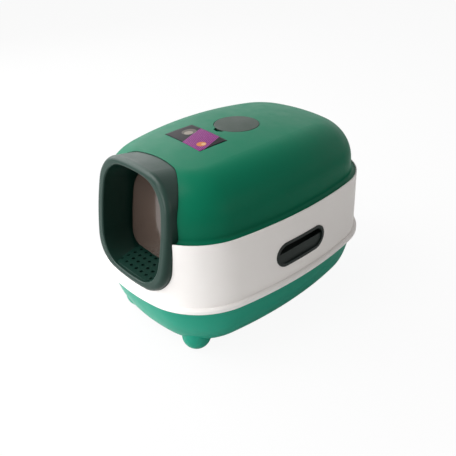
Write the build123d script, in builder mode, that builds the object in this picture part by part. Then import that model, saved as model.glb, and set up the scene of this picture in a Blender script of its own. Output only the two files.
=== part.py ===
from build123d import *
import math
import os

os.makedirs("parts", exist_ok=True)

# ---------------------------------------------------------------------------
# Driving dimensions, in millimetres and degrees. The box stands on z = 0, is
# centred on x = 0 and y = 0, and its entrance faces -Y.
# ---------------------------------------------------------------------------

# Body seen from above: four shallow arcs with round corners
body_width = 410.0
body_length = 564.0
side_bow = 34.0
end_bow = 35.0
body_corner = 142.0

# Base tray
tray_bottom = 23.5
tray_wall = 2.8
tray_floor = 3.0
tray_inset = 14.0
tray_side = 54.0
tray_rim_z = 130.5
tray_flange = 2.5
tray_upstand = 7.0
bowl_sweep = 80.0
bowl_steps = 6
foot_radius = 29.2
foot_wall = 5.0
foot_side = 107.7
foot_end = 81.3
foot_pad_radius = 9.0
foot_pad_thickness = 3.0
foot_pad_drop = 1.0

# Surround ring
lip_drop = 5.0
lip_height = 9.5
lip_flare = 7.3
lip_round = 6.5
ring_top_z = 267.0
ring_wall = 2.7
ring_edge_round = 1.2
ledge_drop = 4.6
ledge_width = 8.5
ledge_thickness = 2.5

# Hood
hood_inset = 19.5
hood_top_z = 388.0
hood_wall = 2.8
hood_draft = 3.0
hood_shoulder = 84.0
crown_across = 1100.0
crown_along = 1450.0
crown_sweep = 15.0
hood_flange = 2.5
hood_flange_gap = 0.8
hood_cove = 6.5
hood_skirt = 9.0

# Entrance collar: the mouth leans back, and the tunnel runs square to it
mouth_setback = 21.4
mouth_z = 266.7
mouth_lean = 8.9
rim_side = 21.5
rim_end = 14.75
collar_bow_x = 12.9
collar_bow_y = 11.9
collar_corner = 68.0
throat_width = 186.0
throat_height = 208.5
throat_bow_x = 11.0
throat_bow_y = 10.1
throat_corner = 59.5
bead_front = 3.0
bead_outer_round = 10.5
bead_inner_round = 3.5
collar_wall = 2.5
collar_depth = 72.0
collar_gap = 1.0
collar_taper = 0.5
boss_depth = 30.0

# Retaining frame behind the collar, and the posts it is screwed to
frame_thickness = 3.0
frame_fit = 0.2
ear_radius = 9.0
post_radius = 6.0
post_side = 17.0
post_low = -78.0
post_high = -22.0

# Flap, its rail and its hinge
flap_depth = 62.0
flap_thickness = 2.0
flap_side_gap = 8.75
flap_top_gap = 20.25
flap_low_gap = 18.75
flap_bow = 4.0
flap_top_corner = 60.0
flap_bottom_corner = 30.0
hinge_depth = 50.0
hinge_drop = 22.25
hinge_pin_radius = 2.5
hinge_fit = 0.06
rail_length = 68.0
rail_radius = 4.5
rail_grip = 15.0
rail_web = 5.0
rail_wall = 2.2
rail_fit = 0.1
pin_reach = 6.5
pin_seat = 10.0
lug_thickness = 4.0
lug_gap = 0.8
lug_radius = 6.0
lug_stem = 8.0
rivet_radius = 1.6
rivet_head_radius = 3.0
rivet_head = 1.2
rivet_pitch = 24.0
rivet_rise = 5.0

# Perforated step and catch drawer in the tunnel's floor
step_rise = 3.6
step_thickness = 2.2
step_front = 3.5
step_length = 69.1
drawer_wall = 2.0
drawer_fit = 0.4
sieve_hole_radius = 3.5
sieve_pitch_x = 16.2
sieve_pitch_y = 15.5
sieve_margin = 0.6
sieve_narrow_rows = 3
sieve_narrow_columns = 7
sieve_wide_rows = 2
sieve_wide_columns = 9

# Screws of the retaining frame
screw_radius = 1.9
screw_length = 14.0
screw_head_radius = 3.6
screw_head = 2.2
screw_fit = 0.1

# Recessed side grips
grip_z = 190.0
grip_length = 137.0
grip_y = -6.0
grip_height = 53.0
grip_flange = 4.0
grip_proud = 1.2
grip_wall = 2.0
grip_depth = 27.0
grip_panel_depth = 2.8
grip_panel_height = 25.2
grip_panel_tilt = 0.8
grip_shelf_drop = 6.0
grip_rim_depth = 9.0
grip_fit = 0.3
snap_width = 14.0
snap_length = 4.0
snap_height = 1.6
snap_spread = 60.0
snap_inward = 1.2

# Filter cartridge in the hood's crown
cap_y = 12.0
cap_radius = 46.3
cap_gap = 0.9
cap_thickness = 3.4
cap_dome = 900.0
cap_edge_round = 0.9
cap_plug_wall = 2.0
cap_plug_depth = 7.0
seat_depth = 4.6
seat_floor = 2.6
seat_wall = 3.0
basket_radius = 41.0
basket_gap = 0.6
basket_wall = 1.8
basket_depth = 22.0
basket_flange = 1.4
basket_flange_width = 4.5
basket_slot = 4.0
basket_slot_pitch = 8.0
basket_slots = 9
carbon_height = 11.0
carbon_gap = 0.5
notch_width = 26.0
notch_reach = 9.0
notch_drop = 6.5
notch_wall = 2.2

# Clearance between a piece that lifts off and what it rests on
seat_gap = 0.3
# Gap between touching pieces that a snap or a weld holds together
snug = 0.05
# How far a cutting tool runs past what it cuts
overrun = 40.0

# ---------------------------------------------------------------------------
# Shared outlines and forms
# ---------------------------------------------------------------------------


def grown(shape, amount):
    """A bowed rectangle moved outward by amount, or inward where it is negative."""
    width, height, bow_x, bow_y, corner, low_corner, rise = shape
    radius_x = (bow_x**2 + (height / 2 - bow_y) ** 2) / (2 * bow_x)
    radius_y = (bow_y**2 + (width / 2 - bow_x) ** 2) / (2 * bow_y)
    centre_x = width / 2 - radius_x
    centre_y = height / 2 - radius_y
    span = math.hypot(centre_x, centre_y)
    along = (span + ((radius_x + amount) ** 2 - (radius_y + amount) ** 2) / span) / 2
    aside = math.sqrt((radius_x + amount) ** 2 - along**2)
    corner_x = centre_x - (along * centre_x + aside * centre_y) / span
    corner_y = (along * centre_y - aside * centre_x) / span
    edge_x = width / 2 + amount
    edge_y = height / 2 + amount
    with BuildSketch(mode=Mode.PRIVATE) as outline:
        with BuildLine():
            ThreePointArc((corner_x, -corner_y), (edge_x, 0), (corner_x, corner_y))
            ThreePointArc((corner_x, corner_y), (0, edge_y), (-corner_x, corner_y))
            ThreePointArc((-corner_x, corner_y), (-edge_x, 0), (-corner_x, -corner_y))
            ThreePointArc((-corner_x, -corner_y), (0, -edge_y), (corner_x, -corner_y))
        make_face()
        fillet(outline.vertices().group_by(Axis.Y)[-1], corner + amount)
        fillet(outline.vertices().group_by(Axis.Y)[0], low_corner + amount)
    return outline.sketch.moved(Location((0, rise, 0)))


# Width, height, side bow, end bow, upper corner, lower corner, rise of the centre
collar_width = throat_width + 2 * rim_side
collar_height = throat_height + 2 * rim_end
flap_width = throat_width - 2 * flap_side_gap
flap_top = throat_height / 2 - flap_top_gap
flap_bottom = flap_low_gap - throat_height / 2
body_outline = (body_width, body_length, side_bow, end_bow, body_corner, body_corner, 0)
collar_outline = (collar_width, collar_height, collar_bow_x, collar_bow_y, collar_corner, collar_corner, 0)
throat_outline = (throat_width, throat_height, throat_bow_x, throat_bow_y, throat_corner, throat_corner, 0)
flap_height = flap_top - flap_bottom
flap_rise = (flap_top + flap_bottom) / 2
flap_outline = (flap_width, flap_height, flap_bow, flap_bow, flap_top_corner, flap_bottom_corner, flap_rise)


def slab(inset, low, high):
    """The body's plan drawn in by inset, between two heights."""
    with BuildPart(mode=Mode.PRIVATE) as block:
        with BuildSketch(Plane.XY.offset(low)):
            add(grown(body_outline, -inset))
        extrude(amount=high - low)
    return block.part


def disc(radius, x, y, low, high):
    """An upright round disc or plug."""
    with BuildPart(mode=Mode.PRIVATE) as plug:
        with BuildSketch(Plane.XY.offset(low)):
            with Locations((x, y)):
                Circle(radius)
        extrude(amount=high - low)
    return plug.part


lean = math.radians(mouth_lean)
narrowing = math.tan(math.radians(collar_taper))
mouth_y = mouth_setback - body_length / 2
outward = Vector(0, -math.cos(lean), math.sin(lean))
mouth = Plane(origin=(0, mouth_y, mouth_z), x_dir=(1, 0, 0), z_dir=outward)


def tunnel(outline, spread, near, far):
    """A prism along the tunnel, from depth near to depth far behind the mouth."""
    with BuildPart(mode=Mode.PRIVATE) as prism:
        with BuildSketch(mouth.offset(-far)):
            add(grown(outline, spread))
        extrude(amount=far - near)
    return prism.part


def funnel(spread, near, far):
    """The collar's own form between two depths: it narrows evenly behind the mouth."""
    with BuildPart(mode=Mode.PRIVATE) as form:
        for depth in (far, near):
            with BuildSketch(mouth.offset(-depth)):
                add(grown(collar_outline, spread - depth * narrowing))
        loft(ruled=True)
    return form.part


def rod(radius, spots, near, far):
    """Round rods along the tunnel at spots across and up the mouth."""
    with BuildPart(mode=Mode.PRIVATE) as rods:
        with BuildSketch(mouth.offset(-far)):
            with Locations(*spots):
                Circle(radius)
        extrude(amount=far - near)
    return rods.part


# ---------------------------------------------------------------------------
# Base tray with four stub feet, and their pads
# ---------------------------------------------------------------------------

tray_depth = tray_rim_z - tray_bottom
sweep_sine = math.sin(math.radians(bowl_sweep))
foot_x = body_width / 2 - foot_side
foot_y = body_length / 2 - foot_end
foot_spots = [(x, y) for x in (-foot_x, foot_x) for y in (-foot_y, foot_y)]
lip_z = tray_rim_z - lip_drop
groove_z = lip_z + lip_height
wall_inside = lip_flare + ring_wall


def bowl(skin, floor):
    """The tray's bowl with an elliptical side, drawn in by skin and raised by floor."""
    with BuildPart(mode=Mode.PRIVATE) as form:
        for step in range(bowl_steps + 1):
            angle = math.radians(bowl_sweep * step / bowl_steps)
            drop = (tray_depth - floor) * math.sin(angle) / sweep_sine
            inset = tray_inset + skin + tray_side * (1 - math.cos(angle))
            with BuildSketch(Plane.XY.offset(tray_rim_z - drop)):
                add(grown(body_outline, -inset))
        loft()
    return form.part


def stub(radius, low):
    """A round-ended stub, flat at height low, that rises into the bowl."""
    flat = math.sqrt(radius**2 - (foot_radius - low) ** 2)
    high = foot_radius * 2
    with BuildPart(mode=Mode.PRIVATE) as form:
        with BuildSketch(Plane.XZ):
            with BuildLine():
                Line((0, high), (0, low))
                Line((0, low), (flat, low))
                arc = CenterArc((0, foot_radius), radius, -math.degrees(math.acos(flat / radius)),
                                math.degrees(math.acos(flat / radius)))
                Line(arc @ 1, (radius, high))
                Line((radius, high), (0, high))
            make_face()
        revolve(axis=Axis.Z)
    return form.part


bowl_outside = bowl(0, 0)
bowl_inside = bowl(tray_wall, tray_floor)
upstand_outside = slab(tray_inset, tray_rim_z, tray_rim_z + tray_upstand)
upstand_inside = slab(tray_inset + tray_wall, tray_rim_z, tray_rim_z + tray_upstand)
flange_plate = slab(ring_wall + 2 * seat_gap, tray_rim_z - tray_flange, tray_rim_z)
stub_outside = stub(foot_radius, foot_pad_drop)
stub_inside = stub(foot_radius - foot_wall, foot_wall + foot_pad_drop)
pad_recess = disc(foot_pad_radius, 0, 0, 0, foot_pad_thickness)

with BuildPart() as litter_tray:
    add(bowl_outside)
    add(upstand_outside)
    add(flange_plate)
    for x, y in foot_spots:
        add(stub_outside.moved(Location((x, y, 0))))
    add(bowl_inside, mode=Mode.SUBTRACT)
    add(upstand_inside, mode=Mode.SUBTRACT)
    for x, y in foot_spots:
        add(stub_inside.moved(Location((x, y, 0))), mode=Mode.SUBTRACT)
        add(pad_recess.moved(Location((x, y, 0))), mode=Mode.SUBTRACT)

with BuildPart() as foot_pads:
    with BuildSketch():
        with Locations(*foot_spots):
            Circle(foot_pad_radius - snug)
    extrude(amount=foot_pad_thickness - snug)
    chamfer(foot_pads.edges().group_by(Axis.Z)[0], foot_pad_drop / 2)

# ---------------------------------------------------------------------------
# Surround ring: flared lip, upright wall, ledge for the hood, screw posts
# ---------------------------------------------------------------------------

shoulder_z = tray_rim_z + seat_gap
ledge_z = ring_top_z - ledge_drop
grip_hole_length = grip_length - 2 * grip_flange
grip_hole_height = grip_height - 2 * grip_flange
post_x = collar_width / 2 + post_side
post_spots = [(x, v) for x in (-post_x, post_x) for v in (post_low, post_high)]


def pill(length, height):
    """A pill-shaped bar that runs right across the body at the grips' height."""
    with BuildPart(mode=Mode.PRIVATE) as bar:
        with BuildSketch(Plane.YZ):
            with Locations((grip_y, grip_z)):
                SlotOverall(length, height)
        extrude(amount=body_width / 2, both=True)
    return bar.part


lip_block = slab(0, lip_z, groove_z)
wall_block = slab(lip_flare, groove_z, ring_top_z)
lip_hollow = slab(ring_wall, lip_z, shoulder_z)
wall_hollow = slab(wall_inside, shoulder_z, ring_top_z)
ledge_plate = slab(wall_inside, ledge_z - ledge_thickness, ledge_z)
ledge_hollow = slab(wall_inside + ledge_width, ledge_z - ledge_thickness, ledge_z)
wall_core = slab(lip_flare + ring_wall / 2, groove_z, ring_top_z)
post_rods = rod(post_radius, post_spots, -overrun, collar_depth - snug)
post_holes = rod(screw_radius + screw_fit, post_spots, collar_depth - screw_length, collar_depth)
collar_notch = funnel(collar_gap, -overrun, collar_depth + overrun)

with BuildPart() as posts:
    add(post_rods)
    add(wall_core, mode=Mode.INTERSECT)

with BuildPart() as surround_ring:
    add(lip_block)
    fillet(surround_ring.edges().group_by(Axis.Z)[-1], lip_round)
    add(wall_block)
    add(lip_hollow, mode=Mode.SUBTRACT)
    add(wall_hollow, mode=Mode.SUBTRACT)
    add(ledge_plate)
    add(ledge_hollow, mode=Mode.SUBTRACT)
    add(collar_notch, mode=Mode.SUBTRACT)
    ring_top = surround_ring.faces().filter_by_position(Axis.Z, ring_top_z - snug, ring_top_z + snug)
    fillet(ring_top.edges(), ring_edge_round)
    add(pill(grip_hole_length, grip_hole_height), mode=Mode.SUBTRACT)
    add(posts.part)
    add(post_holes, mode=Mode.SUBTRACT)

# ---------------------------------------------------------------------------
# Recessed side grips: a flanged cup, closed by a flat panel below a deep finger pocket
# ---------------------------------------------------------------------------

grip_face_x = body_width / 2 - lip_flare
cup_length = grip_hole_length - 2 * grip_fit
cup_height = grip_hole_height - 2 * grip_fit


def grip_space(spread):
    """The pocket's side profile, grown by spread and carried along the grip."""
    low = grip_z - cup_height / 2
    high = grip_z + cup_height / 2
    with BuildPart(mode=Mode.PRIVATE) as space:
        with BuildSketch(Plane.XZ):
            with BuildLine():
                Polyline(
                    (grip_face_x + overrun, low),
                    (grip_face_x - grip_panel_depth, low),
                    (grip_face_x - grip_panel_depth - grip_panel_tilt, low + grip_panel_height),
                    (grip_face_x - grip_depth, low + grip_panel_height - grip_shelf_drop),
                    (grip_face_x - grip_depth, high),
                    (grip_face_x + overrun, high),
                    close=True,
                )
            make_face()
            offset(amount=spread, kind=Kind.INTERSECTION)
        extrude(amount=grip_length, both=True)
    return space.part


def side_skin(outer_inset, inner_inset):
    """A skin that follows the body's side over the height of the grips."""
    outer = slab(outer_inset, grip_z - grip_height, grip_z + grip_height)
    return outer - slab(inner_inset, grip_z - grip_height, grip_z + grip_height)


with BuildPart() as flange_skin:
    add(pill(grip_length, grip_height))
    add(side_skin(lip_flare - grip_proud, lip_flare), mode=Mode.INTERSECT)

with BuildPart() as snap_tabs:
    for side in (-1, 1):
        with BuildSketch(Plane.XY.offset(grip_z + side * (cup_height / 2 - grip_wall / 2))):
            with Locations((grip_face_x - ring_wall - seat_gap - snap_length / 2 - snap_inward, grip_y)):
                with GridLocations(snap_length, snap_spread, 1, 2):
                    Rectangle(snap_length, snap_width)
        extrude(amount=side * (snap_height + grip_wall / 2))

with BuildPart() as grip_body:
    add(pill(cup_length, cup_height))
    add(grip_space(grip_wall), mode=Mode.INTERSECT)
    add(slab(lip_flare, grip_z - grip_height, grip_z + grip_height), mode=Mode.INTERSECT)

with BuildPart() as grip_rim:
    with BuildSketch(Plane.YZ.offset(grip_face_x - grip_rim_depth)):
        with Locations((grip_y, grip_z)):
            SlotOverall(cup_length, cup_height)
            SlotOverall(cup_length - 2 * grip_wall, cup_height - 2 * grip_wall, mode=Mode.SUBTRACT)
    extrude(amount=grip_rim_depth)
    add(slab(lip_flare, grip_z - grip_height, grip_z + grip_height), mode=Mode.INTERSECT)

with BuildPart() as handle_cup_right:
    add(flange_skin.part)
    split(bisect_by=Plane.YZ)
    add(grip_body.part)
    add(grip_rim.part)
    add(snap_tabs.part)
    add(pill(cup_length - 2 * grip_wall, cup_height - 2 * grip_wall) & grip_space(0), mode=Mode.SUBTRACT)

with BuildPart() as handle_cup_left:
    add(handle_cup_right.part.mirror(Plane.YZ))

# ---------------------------------------------------------------------------
# Hood: drafted sides, doubly curved crown, round shoulder, filter seat
# ---------------------------------------------------------------------------

hood_base_z = ledge_z + seat_gap
hood_flange_top = hood_base_z + hood_flange
skirt_z = hood_base_z - hood_skirt
recess_radius = cap_radius + cap_gap
recess_z = hood_top_z - seat_depth
seat_radius = recess_radius + notch_reach + seat_wall


def crown(skin):
    """A block under the doubly curved crown, lowered by skin."""
    top = hood_top_z - skin
    across = crown_across - skin
    half = body_width / 2
    dip = across - math.sqrt(across**2 - half**2)
    turning_line = Axis((0, 0, hood_top_z - crown_along), (1, 0, 0))
    with BuildPart(mode=Mode.PRIVATE) as block:
        with BuildSketch(Plane.XZ):
            with BuildLine():
                Line((-half, 0), (half, 0))
                Line((half, 0), (half, top - dip))
                ThreePointArc((half, top - dip), (0, top), (-half, top - dip))
                Line((-half, top - dip), (-half, 0))
            make_face()
        revolve(axis=turning_line, revolution_arc=2 * crown_sweep)
    return block.part.rotate(turning_line, -crown_sweep)


def hood_form(skin, low):
    """The hood's form drawn in by skin, from height low up."""
    with BuildPart(mode=Mode.PRIVATE) as form:
        with BuildSketch(Plane.XY.offset(hood_base_z)):
            add(grown(body_outline, -hood_inset - skin))
        extrude(amount=hood_top_z - hood_base_z + overrun / 4, taper=hood_draft)
        add(crown(skin), mode=Mode.INTERSECT)
        fillet(form.faces().sort_by(Axis.Z)[-1].edges(), hood_shoulder - skin)
        add(slab(hood_inset + skin, low, hood_base_z))
    return form.part


hood_outside = hood_form(0, skirt_z)
hood_inside = hood_form(hood_wall, skirt_z)
hood_flange_plate = slab(wall_inside + hood_flange_gap, hood_base_z, hood_flange_top)
seat_pad = disc(seat_radius, 0, cap_y, recess_z - seat_floor, hood_top_z)
seat_recess = disc(recess_radius, 0, cap_y, recess_z, hood_top_z + overrun)
basket_hole = disc(basket_radius + basket_gap, 0, cap_y, recess_z - overrun, recess_z)

with BuildPart() as finger_notch:
    with BuildSketch(Plane.XY.offset(recess_z - notch_drop)):
        with Locations((0, cap_y - cap_radius)):
            Ellipse(notch_width / 2, notch_reach + cap_gap)
        with Locations((0, cap_y)):
            Circle(basket_radius + basket_gap + notch_wall, mode=Mode.SUBTRACT)
    extrude(amount=notch_drop + seat_depth + overrun)

with BuildPart() as notch_shell:
    with BuildSketch(Plane.XY.offset(recess_z - notch_drop - notch_wall)):
        with Locations((0, cap_y - cap_radius)):
            Ellipse(notch_width / 2 + notch_wall, notch_reach + cap_gap + notch_wall)
    extrude(amount=notch_drop + notch_wall)

with BuildPart() as seat_block:
    add(seat_pad)
    add(hood_form(hood_wall / 2, skirt_z), mode=Mode.INTERSECT)

with BuildPart() as hood:
    add(hood_outside)
    add(hood_flange_plate)
    flange_faces = hood.faces().filter_by_position(Axis.Z, hood_flange_top - snug, hood_flange_top + snug)
    fillet(flange_faces[0].inner_wires()[0].edges(), hood_cove)
    add(hood_inside, mode=Mode.SUBTRACT)
    add(seat_block.part)
    add(notch_shell.part)
    add(seat_recess, mode=Mode.SUBTRACT)
    add(basket_hole, mode=Mode.SUBTRACT)
    add(finger_notch.part, mode=Mode.SUBTRACT)
    add(collar_notch, mode=Mode.SUBTRACT)

# ---------------------------------------------------------------------------
# Entrance collar: a rolled rim in front of a double-walled tunnel
# ---------------------------------------------------------------------------

back_narrowing = collar_depth * narrowing
boss_x = (collar_width + throat_width) / 4 - back_narrowing / 2
boss_v = (collar_height + throat_height) / 4 - back_narrowing / 2
boss_radius = max(rim_side, rim_end) / 2 - collar_wall + 2 * snug
boss_spots = [(-boss_x, 0), (boss_x, 0), (0, -boss_v), (0, boss_v)]
hinge_height = throat_height / 2 - hinge_drop
lug_x = rail_length / 2 + lug_gap + lug_thickness / 2
# The tunnel's own side view: along the tunnel outward, and up
side_view = Plane(origin=mouth.origin, x_dir=outward, z_dir=(-1, 0, 0))

channel_outside = funnel(-collar_wall, collar_wall - bead_front, collar_depth)
channel_inside = tunnel(throat_outline, collar_wall, collar_wall - bead_front, collar_depth)
boss_rods = rod(boss_radius, boss_spots, collar_depth - boss_depth, collar_depth - snug)
boss_limit = funnel(-collar_wall / 2, 0, collar_depth)
boss_holes = rod(screw_radius + screw_fit, boss_spots, collar_depth - screw_length, collar_depth)
throat_space = tunnel(throat_outline, 0, -overrun, collar_depth + overrun)
throat_block = tunnel(throat_outline, collar_wall / 2, 0, collar_depth)

with BuildPart() as channel:
    add(channel_outside)
    channel_front = channel.faces().sort_by(Axis(mouth.origin, outward))[-1]
    fillet(channel_front.edges(), bead_outer_round - collar_wall)
    add(channel_inside, mode=Mode.SUBTRACT)

with BuildPart() as collar_bosses:
    add(boss_rods)
    add(boss_limit, mode=Mode.INTERSECT)
    add(throat_block, mode=Mode.SUBTRACT)

with BuildPart() as hinge_lugs:
    for side in (-1, 1):
        with BuildSketch(side_view.offset(side * lug_x - lug_thickness / 2)):
            with Locations((-hinge_depth, hinge_height)):
                Circle(lug_radius)
            with Locations((-hinge_depth, hinge_height + lug_radius * 2)):
                Rectangle(lug_stem, lug_radius * 4)
            with Locations((-hinge_depth, hinge_height)):
                Circle(hinge_pin_radius + hinge_fit, mode=Mode.SUBTRACT)
        extrude(amount=lug_thickness)
    add(throat_block, mode=Mode.INTERSECT)

with BuildPart() as entrance_collar:
    add(funnel(0, -bead_front, collar_depth))
    add(throat_space, mode=Mode.SUBTRACT)
    front_edges = entrance_collar.faces().sort_by(Axis(mouth.origin, outward))[-1]
    fillet(front_edges.outer_wire().edges(), bead_outer_round)
    front_face = entrance_collar.faces().sort_by(Axis(mouth.origin, outward))[-1]
    fillet(front_face.inner_wires()[0].edges(), bead_inner_round)
    add(channel.part, mode=Mode.SUBTRACT)
    add(collar_bosses.part)
    add(boss_holes, mode=Mode.SUBTRACT)
    add(hinge_lugs.part)

# ---------------------------------------------------------------------------
# Retaining frame and its screws
# ---------------------------------------------------------------------------

frame_back = collar_depth + frame_thickness
screw_spots = boss_spots + post_spots

with BuildPart() as retaining_frame:
    with BuildSketch(mouth.offset(-frame_back)):
        add(grown(collar_outline, -frame_fit - back_narrowing))
        for x, v in post_spots:
            with Locations(((x + math.copysign(boss_x, x)) / 2, v)):
                SlotCenterToCenter(post_x - boss_x, 2 * ear_radius)
        add(grown(throat_outline, frame_fit), mode=Mode.SUBTRACT)
        with Locations(*screw_spots):
            Circle(screw_radius + screw_fit, mode=Mode.SUBTRACT)
    extrude(amount=frame_thickness)

with BuildPart() as frame_screws:
    add(rod(screw_radius, screw_spots, frame_back - screw_length, frame_back + snug))
    add(rod(screw_head_radius, screw_spots, frame_back + snug, frame_back + snug + screw_head))
    chamfer(frame_screws.faces().sort_by(Axis(mouth.origin, outward))[: len(screw_spots)].edges(), screw_head / 4)

# ---------------------------------------------------------------------------
# Flap: smoked panel, hinge rail, pins and rivets
# ---------------------------------------------------------------------------

flap_back = flap_depth + flap_thickness
rivet_v = flap_top - rail_grip + rivet_rise
rivet_spots = [(x, rivet_v) for x in (-rivet_pitch, 0, rivet_pitch)]
clamp_front = flap_depth - rail_fit - rail_wall
clamp_back = flap_back + rail_fit + rail_wall
clamp_top = flap_top + rail_fit + rail_wall
clamp_low = flap_top - rail_grip

with BuildPart() as flap_door:
    add(tunnel(flap_outline, 0, flap_depth, flap_back))
    add(rod(rivet_radius + snug, rivet_spots, flap_depth, flap_back), mode=Mode.SUBTRACT)

with BuildPart() as flap_rail:
    with BuildSketch(side_view.offset(-rail_length / 2)):
        with Locations((-hinge_depth, hinge_height)):
            Circle(rail_radius)
        with Locations((-(hinge_depth + clamp_back) / 2, hinge_height)):
            Rectangle(clamp_back - hinge_depth, rail_web)
        with Locations((-(clamp_front + clamp_back) / 2, (clamp_low + clamp_top) / 2)):
            Rectangle(clamp_back - clamp_front, clamp_top - clamp_low)
    extrude(amount=rail_length)
    add(tunnel(flap_outline, rail_fit, flap_depth - rail_fit, flap_back + rail_fit), mode=Mode.SUBTRACT)
    with BuildSketch(side_view.offset(-rail_length / 2)):
        with Locations((-hinge_depth, hinge_height)):
            Circle(hinge_pin_radius + snug)
    extrude(amount=pin_seat, mode=Mode.SUBTRACT)
    with BuildSketch(side_view.offset(rail_length / 2)):
        with Locations((-hinge_depth, hinge_height)):
            Circle(hinge_pin_radius + snug)
    extrude(amount=-pin_seat, mode=Mode.SUBTRACT)
    add(rod(rivet_radius + snug, rivet_spots, clamp_front, clamp_back), mode=Mode.SUBTRACT)

with BuildPart() as hinge_pins:
    for side in (-1, 1):
        with BuildSketch(side_view.offset(side * (rail_length / 2 - pin_seat + snug))):
            with Locations((-hinge_depth, hinge_height)):
                Circle(hinge_pin_radius)
        extrude(amount=side * (pin_seat + pin_reach))

with BuildPart() as rail_rivets:
    add(rod(rivet_radius, rivet_spots, clamp_front - snug, clamp_back + snug))
    add(rod(rivet_head_radius, rivet_spots, clamp_front - snug - rivet_head, clamp_front - snug))
    add(rod(rivet_head_radius, rivet_spots, clamp_back + snug, clamp_back + snug + rivet_head))

# ---------------------------------------------------------------------------
# Catch drawer in the tunnel's floor, and the perforated step that covers it
# ---------------------------------------------------------------------------

step_z = mouth_z - throat_height / 2 * math.cos(lean) + step_rise
step_under = step_z - step_thickness
step_back_y = mouth_y + step_length
sieve_first_y = mouth_y + sieve_margin
narrow_rows = [sieve_first_y + sieve_pitch_y * row for row in range(sieve_narrow_rows)]
wide_rows = [
    sieve_first_y + sieve_pitch_y * (sieve_narrow_rows + row) for row in range(sieve_wide_rows)
]
narrow_columns = [sieve_pitch_x * (column - (sieve_narrow_columns - 1) / 2) for column in range(sieve_narrow_columns)]
wide_columns = [sieve_pitch_x * (column - (sieve_wide_columns - 1) / 2) for column in range(sieve_wide_columns)]
sieve_spots = [(x, y) for y in narrow_rows for x in narrow_columns]
sieve_spots += [(x, y) for y in wide_rows for x in wide_columns]


def floor_wedge(skin, low, high):
    """The space over the tunnel's floor between two heights, drawn in by skin."""
    back = collar_depth * 2
    with BuildPart(mode=Mode.PRIVATE) as wedge:
        add(tunnel(throat_outline, -drawer_fit - skin, step_front + skin, back))
        with BuildSketch(Plane.XY.offset(low)):
            with Locations((0, step_back_y - skin - body_length / 2)):
                Rectangle(body_width, body_length)
        extrude(amount=high - low, mode=Mode.INTERSECT)
    return wedge.part


with BuildPart() as litter_drawer:
    add(floor_wedge(0, 0, step_under - seat_gap))
    add(floor_wedge(drawer_wall, 0, step_z), mode=Mode.SUBTRACT)

with BuildPart() as step_sieve:
    add(floor_wedge(0, step_under, step_z))
    with BuildSketch(Plane.XY.offset(step_z)):
        with Locations(*sieve_spots):
            Circle(sieve_hole_radius)
    extrude(amount=-step_thickness, mode=Mode.SUBTRACT)

# ---------------------------------------------------------------------------
# Filter cartridge: vent cap, slotted basket and carbon pad
# ---------------------------------------------------------------------------

cartridge_z = recess_z + seat_gap
cap_under = cartridge_z + basket_flange + snug
cap_top = cap_under + cap_thickness
basket_inside = basket_radius - basket_wall
basket_low = cartridge_z - basket_depth
basket_floor = basket_low + basket_wall
plug_radius = basket_inside - carbon_gap

with BuildPart() as filter_basket:
    add(disc(basket_radius, 0, cap_y, basket_low, cartridge_z + basket_flange))
    add(disc(basket_radius + basket_flange_width, 0, cap_y, cartridge_z, cartridge_z + basket_flange))
    add(disc(basket_inside, 0, cap_y, basket_floor, cap_top), mode=Mode.SUBTRACT)
    with BuildSketch(Plane.XY.offset(basket_floor)):
        with Locations((0, cap_y)):
            with GridLocations(basket_slot_pitch, 1, basket_slots, 1):
                Rectangle(basket_slot, 2 * basket_radius)
            Circle(basket_inside - basket_wall, mode=Mode.INTERSECT)
    extrude(amount=-basket_wall, mode=Mode.SUBTRACT)

with BuildPart() as carbon_filter:
    add(disc(plug_radius, 0, cap_y, basket_floor + snug, basket_floor + snug + carbon_height))

cap_shoulder = cap_top - cap_dome + math.sqrt(cap_dome**2 - cap_radius**2)

with BuildPart() as vent_cap:
    with BuildSketch(Plane.XZ.offset(-cap_y)) as cap_section:
        with BuildLine():
            Line((0, cap_under), (cap_radius, cap_under))
            Line((cap_radius, cap_under), (cap_radius, cap_shoulder))
            RadiusArc((cap_radius, cap_shoulder), (0, cap_top), -cap_dome)
            Line((0, cap_top), (0, cap_under))
        make_face()
        fillet(cap_section.vertices().group_by(Axis.X)[-1].sort_by(Axis.Y)[-1], cap_edge_round)
    revolve(axis=Axis((0, cap_y, 0), (0, 0, 1)))
    add(disc(plug_radius, 0, cap_y, cap_under - cap_plug_depth, cap_under))
    add(disc(plug_radius - cap_plug_wall, 0, cap_y, cap_under - cap_plug_depth, cap_under), mode=Mode.SUBTRACT)

# ---------------------------------------------------------------------------
# Hand over the pieces
# ---------------------------------------------------------------------------

litter_tray.part.label = "litter_tray"
export_step(litter_tray.part, "parts/litter_tray.step")
foot_pads.part.label = "foot_pads"
export_step(foot_pads.part, "parts/foot_pads.step")
surround_ring.part.label = "surround_ring"
export_step(surround_ring.part, "parts/surround_ring.step")
handle_cup_right.part.label = "handle_cup_right"
export_step(handle_cup_right.part, "parts/handle_cup_right.step")
handle_cup_left.part.label = "handle_cup_left"
export_step(handle_cup_left.part, "parts/handle_cup_left.step")
hood.part.label = "hood"
export_step(hood.part, "parts/hood.step")
entrance_collar.part.label = "entrance_collar"
export_step(entrance_collar.part, "parts/entrance_collar.step")
retaining_frame.part.label = "retaining_frame"
export_step(retaining_frame.part, "parts/retaining_frame.step")
frame_screws.part.label = "frame_screws"
export_step(frame_screws.part, "parts/frame_screws.step")
flap_door.part.label = "flap_door"
export_step(flap_door.part, "parts/flap_door.step")
flap_rail.part.label = "flap_rail"
export_step(flap_rail.part, "parts/flap_rail.step")
hinge_pins.part.label = "hinge_pins"
export_step(hinge_pins.part, "parts/hinge_pins.step")
rail_rivets.part.label = "rail_rivets"
export_step(rail_rivets.part, "parts/rail_rivets.step")
litter_drawer.part.label = "litter_drawer"
export_step(litter_drawer.part, "parts/litter_drawer.step")
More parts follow.
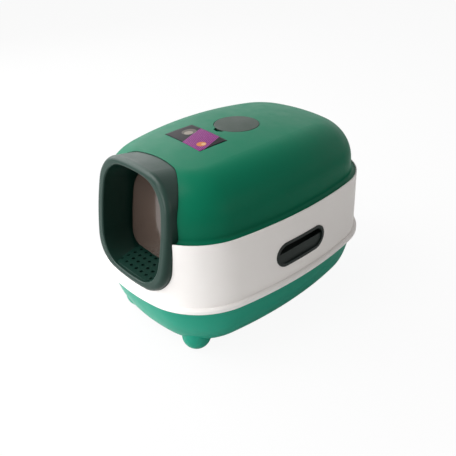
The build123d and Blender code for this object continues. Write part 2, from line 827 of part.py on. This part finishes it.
step_sieve.part.label = "step_sieve"
export_step(step_sieve.part, "parts/step_sieve.step")
filter_basket.part.label = "filter_basket"
export_step(filter_basket.part, "parts/filter_basket.step")
carbon_filter.part.label = "carbon_filter"
export_step(carbon_filter.part, "parts/carbon_filter.step")
vent_cap.part.label = "vent_cap"
export_step(vent_cap.part, "parts/vent_cap.step")
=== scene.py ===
# %% [markdown]
# # A drawer litter box, dressed over its CAD frame
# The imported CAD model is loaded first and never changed. It already holds every moulded piece of
# the box at its real size: the tray, the surround ring, the hood, the entrance collar with its
# flap, the side grips and the filter. What is left to do here is the finish of each plastic, the
# label on the hood, the light and the camera.

# %% Load the frame
import math

import bmesh
import bpy
from mathutils import Matrix, Vector
from mathutils.bvhtree import BVHTree


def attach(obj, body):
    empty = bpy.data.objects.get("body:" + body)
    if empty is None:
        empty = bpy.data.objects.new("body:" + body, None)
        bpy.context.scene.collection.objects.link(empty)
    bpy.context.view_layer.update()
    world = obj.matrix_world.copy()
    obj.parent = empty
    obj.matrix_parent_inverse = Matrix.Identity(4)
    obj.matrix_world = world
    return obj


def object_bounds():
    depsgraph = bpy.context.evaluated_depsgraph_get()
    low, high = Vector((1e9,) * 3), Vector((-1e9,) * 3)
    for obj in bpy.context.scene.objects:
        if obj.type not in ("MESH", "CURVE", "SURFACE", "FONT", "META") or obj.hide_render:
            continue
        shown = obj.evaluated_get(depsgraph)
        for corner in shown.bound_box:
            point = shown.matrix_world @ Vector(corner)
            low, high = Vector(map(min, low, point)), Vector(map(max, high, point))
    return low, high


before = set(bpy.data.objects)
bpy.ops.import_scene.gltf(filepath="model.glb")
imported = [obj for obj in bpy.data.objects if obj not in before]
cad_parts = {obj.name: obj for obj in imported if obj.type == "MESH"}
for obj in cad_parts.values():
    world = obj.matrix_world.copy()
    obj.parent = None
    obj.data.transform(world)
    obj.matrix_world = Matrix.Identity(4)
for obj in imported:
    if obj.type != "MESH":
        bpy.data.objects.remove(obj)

cad_low, cad_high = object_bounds()
print("CAD box", [round(v, 4) for v in (*cad_low, *cad_high)])

# %% [markdown]
# ## The camera
# The photograph was taken from the front right, a little above the box. The camera is placed by
# the angles of that view round a point inside the box: azimuth and elevation turn it round the
# box, and roll tips it about its own line of sight. The picture was cropped, so its middle isn't
# on the lens's axis. The two shift values stand for that crop.

# %% Place the camera
view_azimuth = math.radians(46.98)
view_elevation = math.radians(26.42)
view_roll = math.radians(-1.48)
view_distance = 1.26409
view_target = Vector((0, 0.01907, 0.24013))
view_lens = 46.3
view_shift = (-0.0277, -0.0894)

turn = (
    Matrix.Rotation(view_azimuth, 4, "Z")
    @ Matrix.Rotation(math.pi / 2 - view_elevation, 4, "X")
    @ Matrix.Rotation(view_roll, 4, "Z")
)
camera_data = bpy.data.cameras.new("camera")
camera_data.lens = view_lens
camera_data.shift_x, camera_data.shift_y = view_shift
camera = bpy.data.objects.new("camera", camera_data)
back = turn.to_3x3() @ Vector((0, 0, 1))
camera.matrix_world = Matrix.Translation(view_target + back * view_distance) @ turn
bpy.context.collection.objects.link(camera)
bpy.context.scene.camera = camera
bpy.context.scene.view_settings.view_transform = "Standard"
print("camera at", [round(v, 3) for v in camera.location])

# %% [markdown]
# ## Light
# The box stands in soft daylight that comes from its left, as from a row of windows, and its right
# side is in shade. Four large area lamps stand for the windows, and a dim warm one for a wall. An
# area lamp is chosen because its size softens the shadows, as a window does. Each lamp is placed
# by its azimuth and elevation round the point that the camera looks at.

# %% Helper for area lamps
def add_lamp(name, azimuth, elevation, distance, size, power, colour=(1, 1, 1)):
    """A square lamp that looks at the box from an azimuth and an elevation in degrees."""
    a = math.radians(azimuth)
    e = math.radians(elevation)
    towards = Vector((math.sin(a) * math.cos(e), -math.cos(a) * math.cos(e), math.sin(e)))
    lamp_data = bpy.data.lights.new(name, "AREA")
    lamp_data.size = size
    lamp_data.energy = power
    lamp_data.color = colour
    lamp = bpy.data.objects.new(name, lamp_data)
    lamp.location = view_target + towards * distance
    lamp.rotation_mode = "QUATERNION"
    lamp.rotation_quaternion = towards.to_track_quat("Z", "Y")
    bpy.context.collection.objects.link(lamp)
    print(name, "at", [round(v, 2) for v in lamp.location])


# %% Place the lamps
warm = (1.0, 0.90, 0.80)
add_lamp("left_lamp", azimuth=-60, elevation=32, distance=2.4, size=1.9, power=43)
add_lamp("front_lamp", azimuth=-22, elevation=50, distance=2.4, size=1.5, power=38)
add_lamp("low_lamp", azimuth=-6, elevation=8, distance=2.6, size=1.2, power=26)
add_lamp("back_lamp", azimuth=-102, elevation=32, distance=2.6, size=1.8, power=19)
add_lamp("wall_lamp", azimuth=95, elevation=12, distance=3.0, size=1.6, power=7, colour=warm)

# %% [markdown]
# ## White surroundings
# The world adds even light from all round, at a low level. It is white only for the rays that look
# at it: those of the camera, those that a glossy surface mirrors, and those that pass through a
# clear sheet. The level is chosen from the kind of ray by a small tree of nodes. Two steps come
# back in every such tree below, a sum and a stretch of one range onto another. Each is a helper.

# %% Helpers for sums and ranges
def maths(tree, operation, first, second=0):
    """One Math node. Each side is a socket or a number."""
    step = tree.nodes.new("ShaderNodeMath")
    step.operation = operation
    for socket, value in zip(step.inputs, (first, second)):
        if isinstance(value, (int, float)):
            socket.default_value = value
        else:
            tree.links.new(value, socket)
    return step.outputs[0]


def stretched(tree, value, to_low, to_high, from_low=0, from_high=1):
    """A value stretched from one range onto another, and held at the ends of the second."""
    step = tree.nodes.new("ShaderNodeMapRange")
    step.inputs["From Min"].default_value = from_low
    step.inputs["From Max"].default_value = from_high
    step.inputs["To Min"].default_value = to_low
    step.inputs["To Max"].default_value = to_high
    tree.links.new(value, step.inputs["Value"])
    return step.outputs["Result"]


# %% Set the world
level_on_box = 0.27
level_seen = 1.3

world = bpy.data.worlds.new("daylight")
bpy.context.scene.world = world
world.use_nodes = True
sky = world.node_tree
background = sky.nodes["Background"]
ray = sky.nodes.new("ShaderNodeLightPath")
straight = maths(sky, "MAXIMUM", ray.outputs["Is Camera Ray"], ray.outputs["Is Transmission Ray"])
seen = maths(sky, "MAXIMUM", straight, ray.outputs["Is Glossy Ray"])
level = stretched(sky, seen, level_on_box, level_seen)
sky.links.new(level, background.inputs["Strength"])
background.inputs["Color"].default_value = (1, 1, 1, 1)
print("world level", level_on_box, "on the box,", level_seen, "where it is seen")

# %% [markdown]
# ## Floor
# A plain pale floor, big enough to fill every view. It still takes the box's shadow, and a share
# of plain white for the camera's own rays keeps it as pale as the paper-white of a product photo.

# %% Lay the floor
floor_reach = 12

floor_mesh = bpy.data.meshes.new("floor")
shape = bmesh.new()
bmesh.ops.create_grid(shape, x_segments=1, y_segments=1, size=floor_reach)
shape.to_mesh(floor_mesh)
shape.free()
floor = bpy.data.objects.new("floor", floor_mesh)
bpy.context.collection.objects.link(floor)
print("floor", floor.dimensions[:])

# %% Paint the floor
floor_grey = (0.8, 0.8, 0.8, 1)
floor_white_share = 0.93

floor_paint = bpy.data.materials.new("floor_paint")
floor_paint.use_nodes = True
tree = floor_paint.node_tree
tree.nodes.clear()
output = tree.nodes.new("ShaderNodeOutputMaterial")
blend = tree.nodes.new("ShaderNodeMixShader")
dull = tree.nodes.new("ShaderNodeBsdfDiffuse")
dull.inputs["Color"].default_value = floor_grey
white = tree.nodes.new("ShaderNodeEmission")
ray = tree.nodes.new("ShaderNodeLightPath")
share = maths(tree, "MULTIPLY", ray.outputs["Is Camera Ray"], floor_white_share)
tree.links.new(share, blend.inputs["Fac"])
tree.links.new(dull.outputs[0], blend.inputs[1])
tree.links.new(white.outputs[0], blend.inputs[2])
tree.links.new(blend.outputs[0], output.inputs["Surface"])
floor_mesh.materials.append(floor_paint)
print("floor paint, share of white for the camera", floor_white_share)

# %% [markdown]
# ## Grain
# No real surface is even, and unevenness is what tells the eye how large a thing is. Every finish
# below starts from noise in Object coordinates, which are metres from the box's origin, so a grain
# has the same size on every piece and doesn't slide when the piece moves. The noise then moves one
# of three things: the colour through a ramp of two tones, the gloss through a stretched range, or
# the surface itself through a bump.

# %% Helpers for grain
def new_finish(name):
    """A new Principled material, with its tree, its shader and the place of each point."""
    finish = bpy.data.materials.new(name)
    finish.use_nodes = True
    tree = finish.node_tree
    place = tree.nodes.new("ShaderNodeTexCoord").outputs["Object"]
    return finish, tree, tree.nodes["Principled BSDF"], place


def noise(tree, place, scale, detail=2):
    """Soft noise. Its patches are about one metre, divided by scale, across."""
    patches = tree.nodes.new("ShaderNodeTexNoise")
    patches.inputs["Scale"].default_value = scale
    patches.inputs["Detail"].default_value = detail
    tree.links.new(place, patches.inputs["Vector"])
    return patches.outputs["Fac"]


def two_tones(tree, value, dark, light, start=0, end=1):
    """A ramp from a dark tone to a light one, as a value goes from start to end."""
    ramp = tree.nodes.new("ShaderNodeValToRGB")
    low_stop, high_stop = ramp.color_ramp.elements
    low_stop.position, low_stop.color = start, (*dark, 1)
    high_stop.position, high_stop.color = end, (*light, 1)
    tree.links.new(value, ramp.inputs["Fac"])
    return ramp.outputs["Color"]


def bumped(tree, height, strength, distance):
    """A surface that rises by a height, at most the distance in metres."""
    bump = tree.nodes.new("ShaderNodeBump")
    bump.inputs["Strength"].default_value = strength
    bump.inputs["Distance"].default_value = distance
    tree.links.new(height, bump.inputs["Height"])
    return bump.outputs["Normal"]


# %% [markdown]
# ## Moulded plastic
# Every shell of the box is injection moulded. Seen close, such plastic has three things: a colour
# that drifts a little with the flow of the melt, a fine orange-peel texture that softens its
# highlights, and rub marks that change its gloss more than its colour. One helper builds all
# three, and each plastic of the box differs only in colour, roughness and shine.

# %% Helper for moulded plastic
flow_scale = 7
rub_scale = 38
peel_scale = 420
peel_strength = 0.05
peel_height = 0.0006
polished, rubbed = -0.03, 0.05


def moulded_plastic(name, colour, roughness, shine, drift=0.04):
    """Plastic with a drifting colour, uneven gloss and an orange-peel surface."""
    finish, tree, shader, place = new_finish(name)

    flow = noise(tree, place, flow_scale, detail=3)
    darker = [c * (1 - drift) for c in colour]
    lighter = [min(c * (1 + drift), 1) for c in colour]
    paint = two_tones(tree, flow, darker, lighter, start=0.3, end=0.7)
    tree.links.new(paint, shader.inputs["Base Color"])

    rub = noise(tree, place, rub_scale, detail=6)
    smooth, rough = roughness + polished, roughness + rubbed
    gloss = stretched(tree, rub, smooth, rough, from_low=0.3, from_high=0.7)
    tree.links.new(gloss, shader.inputs["Roughness"])

    peel = noise(tree, place, peel_scale)
    skin = bumped(tree, peel, peel_strength, peel_height)
    tree.links.new(skin, shader.inputs["Normal"])

    shader.inputs["Specular IOR Level"].default_value = shine
    print(name, "colour", colour, "roughness", roughness)
    return finish


# %% The box's plastics
hood_green = moulded_plastic("hood_green", (0.001, 0.134, 0.070), roughness=0.38, shine=0.08)
tray_green = moulded_plastic("tray_green", (0.001, 0.278, 0.180), roughness=0.36, shine=0.28)
ring_white = moulded_plastic(
    "ring_white", (0.90, 0.87, 0.85), roughness=0.36, shine=0.14, drift=0.012
)
collar_green = moulded_plastic("collar_green", (0.006, 0.028, 0.020), roughness=0.34, shine=0.24)
step_green = moulded_plastic("step_green", (0.005, 0.028, 0.020), roughness=0.42, shine=0.25)
# The cap and the grips are one dark plastic. The cap's tone is lighter than the grips': part of it
# is painted sheen from the light on its top.
cap_grey_with_painted_sheen = moulded_plastic("cap_grey_with_painted_sheen", (0.020, 0.034, 0.026), roughness=0.45, shine=0.18)
# The grips' tone is darker than the cap's: part of it is painted shade of their pockets. The
# flap's rail takes the same tone.
grip_green_with_painted_shade = moulded_plastic("grip_green_with_painted_shade", (0.009, 0.015, 0.013), roughness=0.36, shine=0.24)

# %% [markdown]
# ## Smoked sheet
# The flap is cut from a clear sheet with a brown-grey tint. Some light goes through it and its
# skin mirrors the tunnel, so it is part transmission and part plain tinted plastic. Fine
# scratches from the animal's coat run down it. They are noise too, stretched along the sheet by a
# Mapping node that shrinks the place of each point in two of its directions.

# %% Make the smoked sheet
scratch_stretch = (1, 0.12, 0.12)
scratch_scale = 260
haze_scale = 14
smoke_dark = (0.085, 0.060, 0.048)
smoke_light = (0.120, 0.086, 0.070)
clean_roughness, scratched_roughness = 0.07, 0.16
see_through = 0.35
sheet_shine = 0.6

smoked, tree, shader, place = new_finish("smoked_sheet")
stretch = tree.nodes.new("ShaderNodeMapping")
stretch.inputs["Scale"].default_value = scratch_stretch
tree.links.new(place, stretch.inputs["Vector"])
scratch = noise(tree, stretch.outputs["Vector"], scratch_scale, detail=4)
gloss = stretched(
    tree, scratch, clean_roughness, scratched_roughness, from_low=0.45, from_high=0.75
)
tree.links.new(gloss, shader.inputs["Roughness"])
haze = noise(tree, place, haze_scale)
smoke = two_tones(tree, haze, smoke_dark, smoke_light)
tree.links.new(smoke, shader.inputs["Base Color"])
shader.inputs["Transmission Weight"].default_value = see_through
shader.inputs["Specular IOR Level"].default_value = sheet_shine
shader.inputs["IOR"].default_value = 1.5
print("smoked sheet, share of light through it", see_through)

# %% [markdown]
# ## Rubber, felt and steel
# The small parts need their own surfaces: matt rubber under the feet, felt in the filter and
# plain turned steel for the pins, rivets and screws. Each gets one grain of the right size, which
# moves its colour, its gloss and its surface together, because on such stuff they go together.

# %% Helper for small finishes
def grained(name, colour, roughness, metallic, scale, strength, height):
    """A finish with one grain that moves its colour, its gloss and its surface."""
    finish, tree, shader, place = new_finish(name)
    grain = noise(tree, place, scale, detail=5)
    darker = [c * 0.75 for c in colour]
    paint = two_tones(tree, grain, darker, colour, start=0.35, end=0.65)
    tree.links.new(paint, shader.inputs["Base Color"])
    gloss = stretched(tree, grain, roughness * 0.8, min(roughness * 1.2, 1))
    tree.links.new(gloss, shader.inputs["Roughness"])
    skin = bumped(tree, grain, strength, height)
    tree.links.new(skin, shader.inputs["Normal"])
    shader.inputs["Metallic"].default_value = metallic
    print(name, "grain", scale)
    return finish


# %% Small finishes
pad_rubber = grained(
    "pad_rubber", (0.02, 0.02, 0.02),
    roughness=0.8, metallic=0, scale=700, strength=0.3, height=0.0004,
)
filter_felt = grained(
    "filter_felt", (0.02, 0.02, 0.022),
    roughness=0.95, metallic=0, scale=900, strength=0.8, height=0.0012,
)
screw_steel = grained(
    "screw_steel", (0.56, 0.57, 0.58),
    roughness=0.3, metallic=1, scale=500, strength=0.1, height=0.0002,
)

# %% [markdown]
# ## The label
# A film label is stuck on the crown of the hood, in front of the filter's cap. The crown bends
# both ways, so a flat card would stand off it at its corners. The label starts as a grid instead,
# with squares of about 3.5 mm, which is then laid on the hood.

# %% Cut the label
label_width = 0.119
label_depth = 0.065
label_squares = (34, 19)
label_turn = Matrix.Rotation(math.radians(-4.7), 3, "Z")
label_place = Vector((-0.0106, -0.088, 0))

label_mesh = bpy.data.meshes.new("hood_label")
shape = bmesh.new()
shape.loops.layers.uv.new("UVMap")
bmesh.ops.create_grid(
    shape, x_segments=label_squares[0], y_segments=label_squares[1], size=0.5, calc_uvs=True
)
bmesh.ops.scale(shape, vec=(label_width, label_depth, 1), verts=shape.verts)
bmesh.ops.rotate(shape, cent=(0, 0, 0), matrix=label_turn, verts=shape.verts)
bmesh.ops.translate(shape, vec=label_place, verts=shape.verts)
print("label cut from", len(shape.faces), "squares")

# %% [markdown]
# ## Laying the label on
# Each point of the grid falls straight down until it meets the hood, and stops a film of glue
# above it. A ray cast into a search tree of the hood's mesh finds where it lands. A Solidify
# modifier then gives the film its thickness, outwards, so the label never sinks into the shell.

# %% Lay the label on the hood
film_thickness = 0.0002
glue_thickness = 0.00015
drop_height = cad_high[2] + 0.01
down = Vector((0, 0, -1))

shell = bmesh.new()
shell.from_mesh(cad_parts["hood"].data)
shell_tree = BVHTree.FromBMesh(shell)
shell.free()
for point in shape.verts:
    start = Vector((point.co.x, point.co.y, drop_height))
    landing = shell_tree.ray_cast(start, down)[0]
    point.co.z = landing.z + glue_thickness
for face in shape.faces:
    face.smooth = True
shape.to_mesh(label_mesh)
shape.free()
label = bpy.data.objects.new("hood_label", label_mesh)
bpy.context.collection.objects.link(label)
body = label.modifiers.new("film", "SOLIDIFY")
body.thickness = film_thickness
body.offset = 1
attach(label, "hood")
print("label", [round(v, 4) for v in label.dimensions])

# %% [markdown]
# ## The label's print
# The label is a small printed card with a plain design: a black ground, a slanted magenta band
# with pin stripes, and a few discs. It is made from the label's own UV map with comparisons, so it
# needs no picture file: each motif is a mask between 0 and 1, which mixes its ink over what lies
# under it. The map is first scaled so that places on the card are in millimetres.

# %% Measure the card in millimetres
mm = 1000

label_print, card_tree, card_shader, card_place = new_finish("label_print")
label_map = card_tree.nodes.new("ShaderNodeTexCoord").outputs["UV"]
to_card = card_tree.nodes.new("ShaderNodeMapping")
to_card.inputs["Scale"].default_value = (label_width * mm, label_depth * mm, 1)
card_tree.links.new(label_map, to_card.inputs["Vector"])
card = card_tree.nodes.new("ShaderNodeSeparateXYZ")
card_tree.links.new(to_card.outputs["Vector"], card.inputs[0])
across, along = card.outputs["X"], card.outputs["Y"]
print("card", round(label_width * mm), "by", round(label_depth * mm), "mm")

# %% Helpers for printed motifs
def above(value, edge, blur=0.25):
    """A mask that is 1 where value is over edge, with a soft edge as ink has."""
    return stretched(card_tree, value, 0, 1, from_low=edge - blur, from_high=edge + blur)


def disc_mask(x, y, radius):
    """A round motif, its place and radius in millimetres on the card."""
    run = maths(card_tree, "POWER", maths(card_tree, "SUBTRACT", across, x), 2)
    rise = maths(card_tree, "POWER", maths(card_tree, "SUBTRACT", along, y), 2)
    distance = maths(card_tree, "SQRT", maths(card_tree, "ADD", run, rise))
    return maths(card_tree, "SUBTRACT", 1, above(distance, radius))


def laid_over(ground, mask, colour):
    """One ink laid over what is printed already."""
    ink = card_tree.nodes.new("ShaderNodeMix")
    ink.data_type = "RGBA"
    card_tree.links.new(mask, ink.inputs["Factor"])
    if isinstance(ground, tuple):
        ink.inputs["A"].default_value = (*ground, 1)
    else:
        card_tree.links.new(ground, ink.inputs["A"])
    ink.inputs["B"].default_value = (*colour, 1)
    return ink.outputs["Result"]


# %% The inks and the masks of the band
black = (0.003, 0.002, 0.004)
magenta = (0.12, 0.006, 0.10)
pink = (0.34, 0.08, 0.28)
stone = (0.09, 0.08, 0.07)
sand = (0.24, 0.21, 0.18)
orange = (0.46, 0.16, 0.05)
cream = (0.52, 0.34, 0.18)
band_slope = 0.45
band_start, band_end = 62, 124
stripe_turns = 1.5
stripe_edge, stripe_blur = 0.72, 0.12

slant = maths(card_tree, "ADD", across, maths(card_tree, "MULTIPLY", along, band_slope))
past_start = above(slant, band_start)
before_end = above(maths(card_tree, "MULTIPLY", slant, -1), -band_end)
band = maths(card_tree, "MULTIPLY", past_start, before_end)
wave = maths(card_tree, "SINE", maths(card_tree, "MULTIPLY", slant, stripe_turns))
stripes = maths(card_tree, "MULTIPLY", band, above(wave, stripe_edge, blur=stripe_blur))
print("band", band_end - band_start, "mm wide along the card")

# %% Print the label
discs = [
    (30, 38, 15, stone),
    (34, 34, 9, sand),
    (97, 20, 9.5, orange),
    (100, 23, 4.5, cream),
]
wear_scale = 90
fresh_roughness, worn_roughness = 0.28, 0.42
print_shine = 0.05

design = laid_over(black, band, magenta)
design = laid_over(design, stripes, pink)
for x, y, radius, ink in discs:
    design = laid_over(design, disc_mask(x, y, radius), ink)
card_tree.links.new(design, card_shader.inputs["Base Color"])
wear = noise(card_tree, card_place, wear_scale, detail=4)
sheen = stretched(card_tree, wear, fresh_roughness, worn_roughness)
card_tree.links.new(sheen, card_shader.inputs["Roughness"])
card_shader.inputs["Specular IOR Level"].default_value = print_shine
label_mesh.materials.append(label_print)
print("label printed with", len(card_tree.nodes), "nodes")

# %% [markdown]
# ## Each piece gets its finish
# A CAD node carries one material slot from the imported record. Its mesh stays as it is: only what
# the slot shows is swapped. A table keeps the pairs of node and finish in one place.

# %% Dress the CAD nodes
dress = {
    "litter_tray": tray_green,
    "foot_pads": pad_rubber,
    "surround_ring": ring_white,
    "handle_cup_left": grip_green_with_painted_shade,
    "handle_cup_right": grip_green_with_painted_shade,
    "entrance_collar": collar_green,
    "retaining_frame": collar_green,
    "frame_screws": screw_steel,
    "flap_door": smoked,
    "flap_rail": grip_green_with_painted_shade,
    "hinge_pins": screw_steel,
    "rail_rivets": screw_steel,
    "litter_drawer": step_green,
    "step_sieve": step_green,
    "hood": hood_green,
    "vent_cap": cap_grey_with_painted_sheen,
    "filter_basket": cap_grey_with_painted_sheen,
    "carbon_filter": filter_felt,
}
for node, finish in dress.items():
    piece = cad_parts[node]
    piece.data.materials.clear()
    piece.data.materials.append(finish)
print("dressed", len(dress), "of", len(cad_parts), "nodes")
